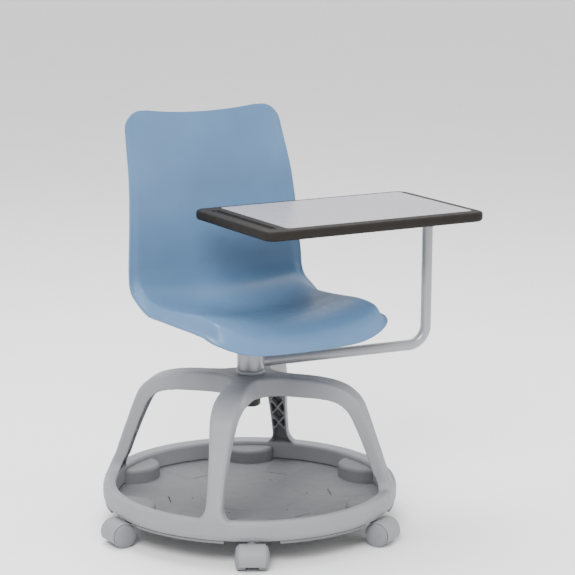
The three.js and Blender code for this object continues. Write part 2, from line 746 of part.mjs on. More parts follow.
function axleCylinder(radius, y0, y1, segments) {
  return alongY(cylinder(radius, -y1, -y0, segments)).translate([TRAIL, 0, WHEEL_R]);
}

function casterHood() {
  let hood = axleCylinder(HOOD_R, -HOOD_HALF, HOOD_HALF, 24);
  hood = hood.subtract(axleCylinder(WHEEL_R + 0.8, FORK_HALF, HOOD_HALF + 1, 24));
  hood = hood.subtract(axleCylinder(WHEEL_R + 0.8, -HOOD_HALF - 1, -FORK_HALF, 24));
  hood = hood.subtract(box(-60, 60, -60, 60, -20, HOOD_CUT_Z));
  hood = hood.subtract(box(-60, 2, -60, -FORK_HALF, -20, WHEEL_R));
  hood = hood.subtract(box(-60, 2, FORK_HALF, 60, -20, WHEEL_R));
  hood = hood.add(cylinder(10, 30, 51.5, 16));
  hood = hood.subtract(cylinder(STEM_R + GAP, 34, 60, 12));
  hood = hood.subtract(axleCylinder(AXLE_R + GAP, -FORK_HALF - 1, FORK_HALF + 1, 12));
  hood = hood.subtract(axleCylinder(WHEEL_R + 0.8, FORK_HALF, HOOD_HALF + 1, 24));
  hood = hood.subtract(axleCylinder(WHEEL_R + 0.8, -HOOD_HALF - 1, -FORK_HALF, 24));
  return hood;
}

function casterWheel(side) {
  const profile = [
    [0, 31], [AXLE_R + GAP, 31], [AXLE_R + GAP, WHEEL_IN], [WHEEL_R, WHEEL_IN],
    [WHEEL_R, 28], [19, 32], [0, WHEEL_OUT],
  ];
  const wheel = turned(profile, 20).rotate([-90, 0, 0]);
  const placed = side > 0 ? wheel : wheel.rotate([0, 0, 180]);
  return placed.translate([TRAIL, 0, WHEEL_R]);
}

CASTER_AZIMUTHS.forEach((azimuth, i) => {
  const turn = rad(azimuth);
  const centre = [STEM_CIRCLE_R * Math.sin(turn), -STEM_CIRCLE_R * Math.cos(turn), 0];
  const place = (piece) => turnedBase(piece.rotate([0, 0, azimuth - 90]).translate(centre));
  add(`caster_${i + 1}_stem`, place(turned([
    [0, 34.3], [STEM_R, 34.3], [STEM_R, STEM_TOP_Z], [0, STEM_TOP_Z],
  ], 12)), "steel");
  add(`caster_${i + 1}_hood`, place(casterHood()), "caster");
  add(`caster_${i + 1}_axle`, place(axleCylinder(AXLE_R, -30.5, 30.5, 12)), "steel");
  add(`caster_${i + 1}_wheel_left`, place(casterWheel(1)), "caster");
  add(`caster_${i + 1}_wheel_right`, place(casterWheel(-1)), "caster");
});

export default chair;
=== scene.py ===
"""Student desk chair: the finely modelled pieces, their materials, the floor, light and camera.

Lengths are written in millimetres about the column's axis, as in the solid model, and are turned
into metres in the shared frame where each mesh is made.
"""

import math

import bmesh
import bpy
from mathutils import Matrix, Vector


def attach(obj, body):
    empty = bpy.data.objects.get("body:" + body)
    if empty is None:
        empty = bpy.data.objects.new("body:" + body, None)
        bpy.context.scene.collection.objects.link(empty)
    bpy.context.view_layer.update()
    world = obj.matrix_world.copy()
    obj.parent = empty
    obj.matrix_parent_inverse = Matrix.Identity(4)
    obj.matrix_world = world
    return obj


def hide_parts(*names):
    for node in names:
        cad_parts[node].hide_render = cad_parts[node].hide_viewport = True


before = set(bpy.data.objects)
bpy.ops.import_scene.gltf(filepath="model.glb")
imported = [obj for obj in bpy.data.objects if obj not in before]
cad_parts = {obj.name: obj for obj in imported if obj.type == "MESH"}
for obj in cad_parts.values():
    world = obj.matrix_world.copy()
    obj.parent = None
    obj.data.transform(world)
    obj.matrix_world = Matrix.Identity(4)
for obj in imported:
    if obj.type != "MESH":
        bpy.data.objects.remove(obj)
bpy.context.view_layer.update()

MM = 0.001
COLUMN_X = -47.2
GAP = 0.3
TAU = 2 * math.pi

# base cage, turned a little from the seat
BASE_TURN = 1.5
RING_BOTTOM_Z = 52.3
RING_OUTER_R = 298.5
RING_INNER_R = 272.0
WALL = 4.0
LEG_AZIMUTHS = (45, 135, -135, -45)
LEG_CORNER = 7.0
HUB_TOP_Z = 311.0
HUB_BOTTOM_Z = 272.0
HUB_LEG_HALF = 24.0
HUB_FILLET = 60.0
HUB_EDGE = 7.0

# column and what turns on it
POST_R = 19.0
POST_BORE_R = 16.5
POST_BOTTOM_Z = 248.3
POST_TOP_Z = 404.0
SLEEVE_R = 27.0
SLEEVE_BORE_R = POST_R + GAP
FOOT_RING_TOP_Z = 318.0
ARM_COLLAR_TOP_Z = 372.0

# tray and casters
TRAY_TOP_Z = 52.0
TRAY_UNDER_Z = 48.5
TRAY_LIP_Z = 47.0
TRAY_RIB_Z = 44.5
TRAY_R = 294.5
TRAY_FLAT_R = 286.0
TRAY_PAD_R = 100.0
TRAY_PAD_TOP_Z = 52.6
MOUND_TOP_Z = 80.0
MOUND_R = 57.5
POCKET_R = 54.5
CASTER_AZIMUTHS = (30, 90, 150, -150, -90, -30)
TRAY_SCREW_AZIMUTHS = (0, 120, -120)
STEM_CIRCLE_R = 283.0
TRAIL = 18.0
WHEEL_R = 23.5
HOOD_R = 26.5
HOOD_HALF = 26.0
FORK_HALF = 12.0

# tablet and its arm
ARM_AZIMUTH = -9.2
ARM_TUBE_R = 11.0
ARM_TUBE_WALL = 2.2
ARM_START_R = 20.5
ARM_START_Z = 332.5
ARM_RISE = 0.0227
ARM_REACH = 387.6
ARM_BEND_R = 40.0
ARM_TOP_Z = 609.5
PIVOT_CUP_Z = 590.0
PIVOT_PLATE_Z = 614.5
PIVOT_PLATE = (-62, 34, -58, 58)
TABLET_SCREWS = ((-52, -48), (-52, 48), (24, -48), (24, 48))
TABLET_BOTTOM_Z = 618.5
TABLET_TOP_Z = 638.0
TABLET_X0, TABLET_X1 = 170 - 252.5, 170 + 252.5
TABLET_Y0, TABLET_Y1 = -60 - 154.5, -60 + 154.5
INSET = (-26.0, 406.0, -189.0, 84.0)

# seat
SHELL_THICK = 5.0
SEAT_PLATE_Z = 422.3
SEAT_PLATE_TOP_Z = 426.0
SEAT_SCREWS = ((-70, -60, 442), (70, -60, 442), (70, 75, 436.5), (-70, 75, 436.5))


# ------------------------------------------------------------------ mesh helpers
def fillet(points, radius, steps=4, closed=True):
    """Rounds the corners of an outline; a point may carry its own radius as a third number."""
    out = []
    for i, point in enumerate(points):
        corner = Vector(point[:2])
        own = point[2] if len(point) > 2 else radius
        if own <= 0 or (not closed and i in (0, len(points) - 1)):
            out.append(tuple(corner))
            continue
        before = Vector(points[i - 1][:2]) - corner
        after = Vector(points[(i + 1) % len(points)][:2]) - corner
        half = before.angle(after) / 2
        if half > math.pi / 2 - 0.04:
            out.append(tuple(corner))
            continue
        cut = min(own / math.tan(half), 0.48 * before.length, 0.48 * after.length)
        before.normalize()
        after.normalize()
        centre = corner + (before + after).normalized() * (cut / math.cos(half))
        first = corner + before * cut - centre
        last = corner + after * cut - centre
        turn0 = math.atan2(first.y, first.x)
        turn = (math.atan2(last.y, last.x) - turn0 + math.pi) % TAU - math.pi
        for k in range(steps + 1):
            a = turn0 + turn * k / steps
            out.append((centre.x + math.cos(a) * first.length, centre.y + math.sin(a) * first.length))
    return out


def smooth_line(points, steps):
    """A smooth line through points of any number of values, with steps between neighbours."""
    rows = [Vector(p) for p in points]
    rows = [rows[0] * 2 - rows[1]] + rows + [rows[-1] * 2 - rows[-2]]
    out = []
    for i in range(1, len(rows) - 2):
        a, b, c, d = rows[i - 1 : i + 3]
        for k in range(steps):
            t = k / steps
            square = (a * 2 - b * 5 + c * 4 - d) * t**2
            cube = (b * 3 - a - c * 3 + d) * t**3
            out.append((b * 2 + (c - a) * t + square + cube) / 2)
    out.append(rows[-2])
    return out


def new_object(name, verts, faces, shift=(COLUMN_X, 0, 0)):
    mesh = bpy.data.meshes.new(name)
    mesh.from_pydata([[(v[k] + shift[k]) * MM for k in range(3)] for v in verts], [], faces)
    mesh.validate()
    bm = bmesh.new()
    bm.from_mesh(mesh)
    bmesh.ops.recalc_face_normals(bm, faces=bm.faces)
    bm.to_mesh(mesh)
    bm.free()
    obj = bpy.data.objects.new(name, mesh)
    bpy.context.scene.collection.objects.link(obj)
    return obj


def loft(rings, close_ends=True, close_loop=False):
    """Verts and faces of a skin through closed rings of equal point count."""
    count = len(rings[0])
    verts = [p for ring in rings for p in ring]
    faces = []
    spans = len(rings) if close_loop else len(rings) - 1
    for i in range(spans):
        a, b = i * count, ((i + 1) % len(rings)) * count
        for j in range(count):
            k = (j + 1) % count
            faces.append((a + j, a + k, b + k, b + j))
    if close_ends and not close_loop:
        faces.append(tuple(range(count)))
        faces.append(tuple((len(rings) - 1) * count + j for j in reversed(range(count))))
    return verts, faces


def turned(profile, segments=96):
    """A body of revolution about +Z from a closed [radius, z] outline, which may touch the axis."""
    verts, faces, rows = [], [], []
    for r, z in profile:
        if r < 1e-6:
            rows.append([len(verts)] * segments)
            verts.append((0.0, 0.0, z))
            continue
        rows.append([len(verts) + j for j in range(segments)])
        for j in range(segments):
            a = TAU * j / segments
            verts.append((r * math.cos(a), r * math.sin(a), z))
    for i in range(len(rows)):
        low, high = rows[i], rows[(i + 1) % len(rows)]
        if low[0] == low[1] and high[0] == high[1]:
            continue
        for j in range(segments):
            k = (j + 1) % segments
            face = []
            for v in (low[j], low[k], high[k], high[j]):
                if v not in face:
                    face.append(v)
            faces.append(tuple(face))
    return verts, faces


def block(x0, x1, y0, y1, z0, z1):
    ring = [(x0, y0), (x1, y0), (x1, y1), (x0, y1)]
    return loft([[(x, y, z) for x, y in ring] for z in (z0, z1)])


def disc(radius, z0, z1, segments=64):
    return turned([(0, z0), (radius, z0), (radius, z1), (0, z1)], segments)


def rounded_rectangle(x0, x1, y0, y1, radius, steps=10):
    return fillet([(x0, y0), (x1, y0), (x1, y1), (x0, y1)], radius, steps)


def stacked_rectangle(box_xy, radius, levels, steps=10):
    """A solid from a rounded rectangle drawn in by each level's inset at each level's height."""
    x0, x1, y0, y1 = box_xy
    rings = []
    for inset, z in levels:
        outline = rounded_rectangle(
            x0 + inset, x1 - inset, y0 + inset, y1 - inset, max(radius - inset, 0.5), steps
        )
        rings.append([(x, y, z) for x, y in outline])
    return loft(rings)


def moved(shape, matrix):
    verts, faces = shape
    return [tuple(matrix @ Vector(v)) for v in verts], faces


def joined(shapes):
    verts, faces = [], []
    for some_verts, some_faces in shapes:
        start = len(verts)
        verts.extend(some_verts)
        faces.extend(tuple(start + i for i in face) for face in some_faces)
    return verts, faces


def turn_z(degrees):
    return Matrix.Rotation(math.radians(degrees), 4, "Z")


def towards(azimuth, radius, z=0.0):
    """A point at an azimuth measured from the front."""
    a = math.radians(azimuth)
    return Vector((radius * math.sin(a), -radius * math.cos(a), z))


def settle(obj):
    """Replaces an object's mesh by what its modifiers make of it."""
    graph = bpy.context.evaluated_depsgraph_get()
    mesh = bpy.data.meshes.new_from_object(obj.evaluated_get(graph))
    old = obj.data
    obj.modifiers.clear()
    obj.data = mesh
    bpy.data.meshes.remove(old)
    mesh.name = obj.name


def boolean(obj, operation, shape):
    other = new_object("cutter", *shape)
    step = obj.modifiers.new(operation, "BOOLEAN")
    step.operation = operation
    step.solver = "EXACT"
    step.use_self = False
    step.object = other
    settle(obj)
    mesh = other.data
    bpy.data.objects.remove(other)
    bpy.data.meshes.remove(mesh)


def taken(obj):
    """Verts and faces of an object, in millimetres about the column's axis; the object is removed."""
    mesh = obj.data
    verts = [(v.co.x / MM - COLUMN_X, v.co.y / MM, v.co.z / MM) for v in mesh.vertices]
    faces = [tuple(p.vertices) for p in mesh.polygons]
    bpy.data.objects.remove(obj)
    bpy.data.meshes.remove(mesh)
    return verts, faces


def bevelled(obj, width, segments=2, angle=35):
    step = obj.modifiers.new("edges", "BEVEL")
    step.width = width * MM
    step.segments = segments
    step.limit_method = "ANGLE"
    step.angle_limit = math.radians(angle)
    step.use_clamp_overlap = True
    settle(obj)


def shade(obj, angle=38):
    bm = bmesh.new()
    bm.from_mesh(obj.data)
    limit = math.radians(angle)
    for face in bm.faces:
        face.smooth = True
    for edge in bm.edges:
        edge.smooth = len(edge.link_faces) == 2 and edge.calc_face_angle() < limit
    bm.to_mesh(obj.data)
    bm.free()


def finished(obj, body, material, nodes, angle=38):
    """Shades a piece, gives it its material, and puts it on its body in place of the CAD nodes."""
    shade(obj, angle)
    obj.data.materials.clear()
    obj.data.materials.append(material)
    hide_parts(*nodes)
    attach(obj, body)
    return obj


# ------------------------------------------------------------------ materials
class Nodes:
    """A short way to write a material's node tree over object coordinates in metres."""

    def __init__(self, name):
        self.material = bpy.data.materials.new(name)
        self.material.use_nodes = True
        self.tree = self.material.node_tree
        self.shader = next(n for n in self.tree.nodes if n.type == "BSDF_PRINCIPLED")
        self.place = self.tree.nodes.new("ShaderNodeTexCoord").outputs["Object"]

    def link(self, source, target):
        self.tree.links.new(source, target)

    def set(self, name, value):
        self.shader.inputs[name].default_value = value

    def drive(self, name, source):
        self.link(source, self.shader.inputs[name])

    def noise(self, scale, detail=4.0, rough=0.55, stretch=(1, 1, 1)):
        place = self.place
        if stretch != (1, 1, 1):
            mapping = self.tree.nodes.new("ShaderNodeMapping")
            mapping.inputs["Scale"].default_value = stretch
            self.link(place, mapping.inputs["Vector"])
            place = mapping.outputs["Vector"]
        node = self.tree.nodes.new("ShaderNodeTexNoise")
        node.inputs["Scale"].default_value = scale
        node.inputs["Detail"].default_value = detail
        node.inputs["Roughness"].default_value = rough
        self.link(place, node.inputs["Vector"])
        return node.outputs["Fac"]

    def cells(self, scale):
        node = self.tree.nodes.new("ShaderNodeTexVoronoi")
        node.inputs["Scale"].default_value = scale
        self.link(self.place, node.inputs["Vector"])
        return node.outputs["Distance"]

    def spread(self, source, low, high, to_low=0.0, to_high=1.0):
        node = self.tree.nodes.new("ShaderNodeMapRange")
        node.inputs["From Min"].default_value = low
        node.inputs["From Max"].default_value = high
        node.inputs["To Min"].default_value = to_low
        node.inputs["To Max"].default_value = to_high
        self.link(source, node.inputs["Value"])
        return node.outputs["Result"]

    def mix(self, factor, first, second):
        node = self.tree.nodes.new("ShaderNodeMix")
        node.data_type = "RGBA"
        self.link(factor, node.inputs["Factor"])
        for value, socket in ((first, node.inputs["A"]), (second, node.inputs["B"])):
            if isinstance(value, tuple):
                socket.default_value = (*value, 1.0)
            else:
                self.link(value, socket)
        return node.outputs["Result"]

    def multiply(self, first, second):
        node = self.tree.nodes.new("ShaderNodeMath")
        node.operation = "MULTIPLY"
        self.link(first, node.inputs[0])
        self.link(second, node.inputs[1])
        return node.outputs["Value"]

    def edges(self, low, high):
        """0 away from convex edges and 1 on them."""
        node = self.tree.nodes.new("ShaderNodeNewGeometry")
        return self.spread(node.outputs["Pointiness"], low, high)

    def bump(self, layers):
        """Bump from (height, strength, depth in metres) layers, one over another."""
        normal = None
        for height, strength, depth in layers:
            node = self.tree.nodes.new("ShaderNodeBump")
            node.inputs["Strength"].default_value = strength
            node.inputs["Distance"].default_value = depth
            self.link(height, node.inputs["Height"])
            if normal is not None:
                self.link(normal, node.inputs["Normal"])
            normal = node.outputs["Normal"]
        self.drive("Normal", normal)


def shade_of(colour, factor):
    return tuple(min(1.0, c * factor) for c in colour)


def moulded_plastic(name, colour, rough=(0.42, 0.58), grain=0.35, wear=0.5, specular=0.4):
    """Textured moulded plastic: cloudy colour, fine spark-eroded grain, paler rubbed edges."""
    m = Nodes(name)
    clouds = m.spread(m.noise(9.0, 3.0), 0.3, 0.7)
    base = m.mix(clouds, shade_of(colour, 0.93), shade_of(colour, 1.05))
    specks = m.spread(m.noise(420.0, 2.0, 0.7), 0.62, 0.78, 0.0, 0.35)
    base = m.mix(specks, base, shade_of(colour, 0.8))
    scuffs = m.multiply(
        m.spread(m.noise(60.0, 6.0, 0.7, (1, 1, 4)), 0.5, 0.75, 0.2, 1.0), m.edges(0.51, 0.56)
    )
    rubbed = m.spread(scuffs, 0.0, 1.0, 0.0, wear)
    base = m.mix(rubbed, base, shade_of(colour, 1.3))
    m.drive("Base Color", base)
    m.drive("Roughness", m.spread(m.noise(35.0, 5.0, 0.6), 0.3, 0.7, *rough))
    m.set("IOR", 1.48)
    m.set("Specular IOR Level", specular)
    m.bump(
        (
            (m.noise(16.0, 1.0), 0.12, 0.0012),
            (m.cells(950.0), grain, 0.00012),
            (m.noise(2300.0, 2.0), grain * 0.8, 0.0001),
        )
    )
    return m.material


def painted_steel(name, colour):
    """Powder-coated steel: slight orange peel, a little metallic flake, rubbed edges."""
    m = Nodes(name)
    flake = m.spread(m.cells(1500.0), 0.1, 0.6)
    base = m.mix(flake, shade_of(colour, 1.06), shade_of(colour, 0.93))
    streaks = m.spread(m.noise(12.0, 4.0), 0.35, 0.7)
    base = m.mix(streaks, base, shade_of(colour, 0.96))
    rubbed = m.multiply(m.spread(m.noise(90.0, 5.0), 0.48, 0.7), m.edges(0.52, 0.6))
    base = m.mix(rubbed, base, shade_of(colour, 1.2))
    m.drive("Base Color", base)
    m.drive("Roughness", m.spread(m.noise(45.0, 4.0), 0.3, 0.7, 0.3, 0.42))
    m.set("Metallic", 0.35)
    m.set("Coat Weight", 0.25)
    m.set("Coat Roughness", 0.22)
    m.bump(((m.noise(480.0, 1.0), 0.22, 0.00015), (m.noise(1800.0, 2.0), 0.15, 0.00006)))
    return m.material


def turned_steel(name, colour, stretch=(1, 1, 18), metallic=0.9):
    """Lathe-turned steel: fine rings round the axis and cloudy sheen."""
    m = Nodes(name)
    rings = m.noise(260.0, 3.0, 0.6, stretch)
    base = m.mix(m.spread(rings, 0.3, 0.7), shade_of(colour, 0.85), shade_of(colour, 1.1))
    m.drive("Base Color", base)
    m.drive("Roughness", m.spread(m.noise(70.0, 4.0), 0.3, 0.7, 0.26, 0.44))
    m.set("Metallic", metallic)
    m.bump(((rings, 0.3, 0.00005),))
    return m.material


def laminate_sheet(name, colour):
    """High-pressure laminate: even pale grey with a faint fleck and a fine pearl finish."""
    m = Nodes(name)
    fleck = m.spread(m.noise(650.0, 3.0, 0.7), 0.55, 0.72, 0.0, 0.5)
    base = m.mix(fleck, colour, shade_of(colour, 0.86))
    clouds = m.spread(m.noise(7.0, 3.0), 0.35, 0.7, 0.0, 0.6)
    base = m.mix(clouds, base, shade_of(colour, 0.97))
    scratches = m.spread(m.noise(40.0, 8.0, 0.75, (1, 14, 1)), 0.66, 0.74, 0.0, 0.3)
    base = m.mix(scratches, base, shade_of(colour, 1.08))
    m.drive("Base Color", base)
    m.drive("Roughness", m.spread(m.noise(55.0, 6.0, 0.65), 0.3, 0.7, 0.24, 0.4))
    m.bump(((m.noise(1300.0, 2.0), 0.25, 0.00005),))
    return m.material


cage_plastic = moulded_plastic("cage_plastic", (0.205, 0.207, 0.221))
tray_plastic = moulded_plastic("tray_plastic", (0.115, 0.116, 0.124), rough=(0.5, 0.66))
shell_plastic = moulded_plastic(
    "shell_plastic", (0.071, 0.145, 0.26), rough=(0.36, 0.5), grain=0.25, wear=0.3
)
caster_plastic = moulded_plastic("caster_plastic", (0.2, 0.202, 0.216))
wheel_plastic = moulded_plastic("wheel_plastic", (0.165, 0.167, 0.18), rough=(0.5, 0.65))
tablet_plastic = moulded_plastic(
    "tablet_plastic", (0.0115, 0.0095, 0.008), rough=(0.55, 0.68), grain=0.25, wear=0.2, specular=0.16
)
black_plastic = moulded_plastic("black_plastic", (0.012, 0.012, 0.014), rough=(0.45, 0.6))
painted = painted_steel("painted_steel", (0.28, 0.284, 0.3))
column_steel = turned_steel("column_steel", (0.26, 0.265, 0.28))
zinc = turned_steel("zinc_screw", (0.55, 0.54, 0.5), (1, 1, 1))
laminate = laminate_sheet("laminate", (0.26, 0.252, 0.28))


# ------------------------------------------------------------------ base cage
# Leg stations: outer edge r, z, inner edge r, z, and half width of the outer face.
LEG_STATIONS = (
    (HUB_LEG_HALF, HUB_TOP_Z, HUB_LEG_HALF, HUB_BOTTOM_Z, HUB_LEG_HALF),
    (110, 310, 110, 271, 24),
    (148, 307, 148, 270.5, 25),
    (177, 301.5, 170.5, 268, 26),
    (203, 291, 189.5, 261.5, 26),
    (227, 270, 207, 245.5, 24.5),
    (242, 240, 220, 220, 21.5),
    (256, 203, 232, 191, 18.8),
    (270, 165, 245.5, 156, 17.0),
    (283, 127, 258, 121, 16.3),
)
LEG_FOOT_Z = (116, 110, 106, 102, 98, 95, 92, 89, 86)
FOOT_FILLET = 30.0


def leg_stations():
    rows = [tuple(row) for row in smooth_line(LEG_STATIONS, 6)]
    for z in LEG_FOOT_Z:
        below = min(FOOT_FILLET, 116 - z)
        half = 16.3 + FOOT_FILLET - math.sqrt(FOOT_FILLET**2 - below**2)
        outer_r = 298 - 15 * ((z - 84) / 43) ** 1.5
        rows.append((outer_r, z, outer_r - 25.5, z - 3, half))
    return rows


def leg_section(half, depth):
    outline = [
        (half, depth, 0.8), (half, 0, LEG_CORNER), (-half, 0, LEG_CORNER), (-half, depth, 0.8),
        (WALL - half, depth, 0.8), (WALL - half, WALL, 3.0), (half - WALL, WALL, 3.0),
        (half - WALL, depth, 0.8),
    ]
    return fillet(outline, 0.8, 4)


def leg():
    rings = []
    for outer_r, outer_z, inner_r, inner_z, half in leg_stations():
        across = Vector((inner_r - outer_r, inner_z - outer_z))
        depth = across.length
        across.normalize()
        ring = []
        for side, down in leg_section(half, depth):
            ring.append((outer_r + across.x * down, side, outer_z + across.y * down))
        rings.append(ring)
    return loft(rings)


def leg_ribs():
    cells = ((242, 236), (255, 199), (268.5, 162), (282, 124))
    ribs = []
    for (top_r, top_z), (low_r, low_z) in zip(cells, cells[1:]):
        length = math.hypot(low_r - top_r, low_z - top_z)
        lean = math.atan2(low_r - top_r, top_z - low_z)
        for side in (-1, 1):
            place = (
                Matrix.Translation(((top_r + low_r) / 2 - 3, 0, (top_z + low_z) / 2))
                @ Matrix.Rotation(-lean, 4, "Y")
                @ Matrix.Translation((-11, 0, 0))
                @ Matrix.Rotation(side * math.atan2(30, length), 4, "X")
            )
            half = math.hypot(length, 30) / 2
            ribs.append(moved(block(-9, 9, -1.6, 1.6, -half, half), place))
    return ribs


def hub_outline(inset):
    half = HUB_LEG_HALF - inset
    centre = HUB_LEG_HALF + HUB_FILLET
    radius = HUB_FILLET + inset
    outline = []
    for arm in range(4):
        turn = Matrix.Rotation(math.radians(45 + 90 * arm), 2)
        outline.append(turn @ Vector((centre, -half)))
        for k in range(13):
            a = math.radians(-90 - 90 * k / 12)
            outline.append(turn @ Vector((centre + radius * math.cos(a), centre + radius * math.sin(a))))
    return outline


def hub():
    levels = [
        (WALL, HUB_TOP_Z - WALL), (WALL, HUB_BOTTOM_Z), (0, HUB_BOTTOM_Z), (0, HUB_TOP_Z - HUB_EDGE),
    ]
    for k in range(1, 5):
        a = math.radians(90 * k / 4)
        levels.append((HUB_EDGE * (1 - math.cos(a)), HUB_TOP_Z - HUB_EDGE * (1 - math.sin(a))))
    shape = loft([[(p.x, p.y, z) for p in hub_outline(inset)] for inset, z in levels])
    obj = new_object("hub", *shape)
    boolean(obj, "DIFFERENCE", disc(POST_R + 1, 200, 400, 48))
    return taken(obj)


def base_ring():
    outline = fillet(
        [
            (294.5, RING_BOTTOM_Z, 1), (RING_OUTER_R, 62, 4), (RING_OUTER_R, 81, 5), (295.5, 92, 5),
            (289, 93, 4), (275, 89, 3), (RING_INNER_R, 84.5, 3), (RING_INNER_R, RING_BOTTOM_Z, 1),
            (276, RING_BOTTOM_Z, 1),
            (276, 85, 2), (290, 88.5, 2), (294.3, 81, 2), (294.3, 63, 2), (290.5, RING_BOTTOM_Z, 1),
        ],
        1.0,
        3,
    )
    return turned(outline, 256)


def base_cage():
    shapes = [base_ring(), hub()]
    one_leg = joined([leg(), *leg_ribs()])
    for azimuth in LEG_AZIMUTHS:
        shapes.append(moved(one_leg, turn_z(azimuth - 90)))
    shapes.append(turned([(POST_R + 1, 266), (SLEEVE_R, 266), (SLEEVE_R, 308), (POST_R + 1, 308)], 48))
    boss = turned(
        [(0, 89), (9.5, 89), (9.5, RING_BOTTOM_Z), (5.9, RING_BOTTOM_Z), (5.9, 84.4), (0, 84.4)], 32
    )
    for azimuth in CASTER_AZIMUTHS:
        shapes.append(moved(boss, Matrix.Translation(towards(azimuth, STEM_CIRCLE_R))))
    post = turned(
        [(0, 78), (9, 78), (9, RING_BOTTOM_Z), (2.6, RING_BOTTOM_Z), (2.6, 68.3), (0, 68.3)], 24
    )
    for azimuth in TRAY_SCREW_AZIMUTHS:
        shapes.append(moved(post, Matrix.Translation(towards(azimuth, STEM_CIRCLE_R))))
    obj = new_object("base_cage_moulding", *moved(joined(shapes), turn_z(BASE_TURN)))
    skin = obj.modifiers.new("skin", "REMESH")
    skin.mode = "VOXEL"
    skin.voxel_size = 1.7 * MM
    soft = obj.modifiers.new("soft", "SMOOTH")
    soft.factor = 0.5
    soft.iterations = 7
    thin = obj.modifiers.new("thin", "DECIMATE")
    thin.ratio = 0.28
    settle(obj)
    return finished(obj, "base", cage_plastic, ["base_cage"], 70)


base_cage()


# ------------------------------------------------------------------ tray
def backpack_tray():
    plate = fillet(
        [
            (0, TRAY_UNDER_Z, 0), (TRAY_FLAT_R, TRAY_UNDER_Z), (TRAY_FLAT_R, TRAY_LIP_Z),
            (TRAY_R, TRAY_LIP_Z), (TRAY_R, TRAY_TOP_Z), (TRAY_PAD_R, TRAY_TOP_Z, 0.3),
            (TRAY_PAD_R, TRAY_PAD_TOP_Z, 0.3), (0, TRAY_PAD_TOP_Z, 0),
        ],
        0.8,
        3,
    )
    obj = new_object("bag_tray", *turned(plate, 192))
    lumps = []
    for i in range(6):
        rib = block(-1.5, 1.5, -TRAY_FLAT_R - 1, -40, TRAY_RIB_Z, TRAY_UNDER_Z + 1)
        lumps.append(moved(rib, turn_z(60 * i)))
    mound = turned(
        fillet(
            [
                (0, TRAY_UNDER_Z + 1, 0), (MOUND_R, TRAY_UNDER_Z + 1, 0), (MOUND_R, MOUND_TOP_Z, 8),
                (0, MOUND_TOP_Z, 0),
            ],
            8,
            6,
        ),
        96,
    )
    mounds = [moved(mound, Matrix.Translation(towards(a, STEM_CIRCLE_R))) for a in CASTER_AZIMUTHS]
    trimmed = new_object("mounds", *joined(mounds))
    boolean(trimmed, "INTERSECT", disc(RING_INNER_R - 1.5, 0, 200, 192))
    step = obj.modifiers.new("mounds", "BOOLEAN")
    step.operation = "UNION"
    step.solver = "EXACT"
    step.object = trimmed
    settle(obj)
    bpy.data.objects.remove(trimmed)
    boolean(obj, "UNION", joined(lumps))
    hollow = turned(
        fillet(
            [(0, 30, 0), (POCKET_R, 30, 0), (POCKET_R, MOUND_TOP_Z - 3, 6), (0, MOUND_TOP_Z - 3, 0)], 6, 5
        ),
        96,
    )
    cuts = [moved(hollow, Matrix.Translation(towards(a, STEM_CIRCLE_R))) for a in CASTER_AZIMUTHS]
    for i in range(6):
        turn = turn_z(60 * i + 8)
        slot = stacked_rectangle((-20, 20, -166.5, -163.5), 1.5, [(0, 30), (0, 60)], 4)
        cuts.append(moved(slot, turn))
        cuts.append(moved(disc(2.5, 30, 60, 16), turn @ Matrix.Translation((0, -118, 0))))
    for azimuth in TRAY_SCREW_AZIMUTHS:
        place = Matrix.Translation(towards(azimuth, STEM_CIRCLE_R))
        hole = [(0, 30), (5.8, 30), (5.8, TRAY_LIP_Z + 3), (2.5, TRAY_LIP_Z + 3), (2.5, 60), (0, 60)]
        cuts.append(moved(turned(hole, 24), place))
    boolean(obj, "DIFFERENCE", joined(cuts))
    obj = new_object("bag_tray", *moved(taken(obj), turn_z(BASE_TURN)))
    return finished(obj, "base", tray_plastic, ["backpack_tray"])


backpack_tray()


# ------------------------------------------------------------------ column
def round_piece(name, outline, radius, body, material, nodes, steps=4):
    obj = new_object(name, *turned(fillet(outline, radius, steps), 128))
    return finished(obj, body, material, nodes)


round_piece(
    "column_tube",
    [
        (POST_BORE_R, POST_BOTTOM_Z), (POST_R, POST_BOTTOM_Z), (POST_R, POST_TOP_Z),
        (POST_BORE_R, POST_TOP_Z),
    ],
    0.6, "base", column_steel, ["column_post"],
)
round_piece(
    "column_foot_cap",
    [
        (0, 244, 0), (18, 244, 3), (21, 247, 2), (21, 265.5, 0.6), (SLEEVE_BORE_R, 265.5, 0.3),
        (SLEEVE_BORE_R, POST_BOTTOM_Z - GAP, 0.3), (0, POST_BOTTOM_Z - GAP, 0),
    ],
    0.5, "base", black_plastic, ["column_end_cap"],
)
round_piece(
    "column_collar_ring",
    [
        (SLEEVE_BORE_R, HUB_TOP_Z + GAP), (29, HUB_TOP_Z + GAP), (29, 313.4), (28.2, 313.9),
        (28.2, 314.6), (28.8, 315), (28.4, 316.3), (27.2, FOOT_RING_TOP_Z),
        (SLEEVE_BORE_R, FOOT_RING_TOP_Z),
    ],
    0.3, "base", painted, ["column_foot_ring"], 3,
)


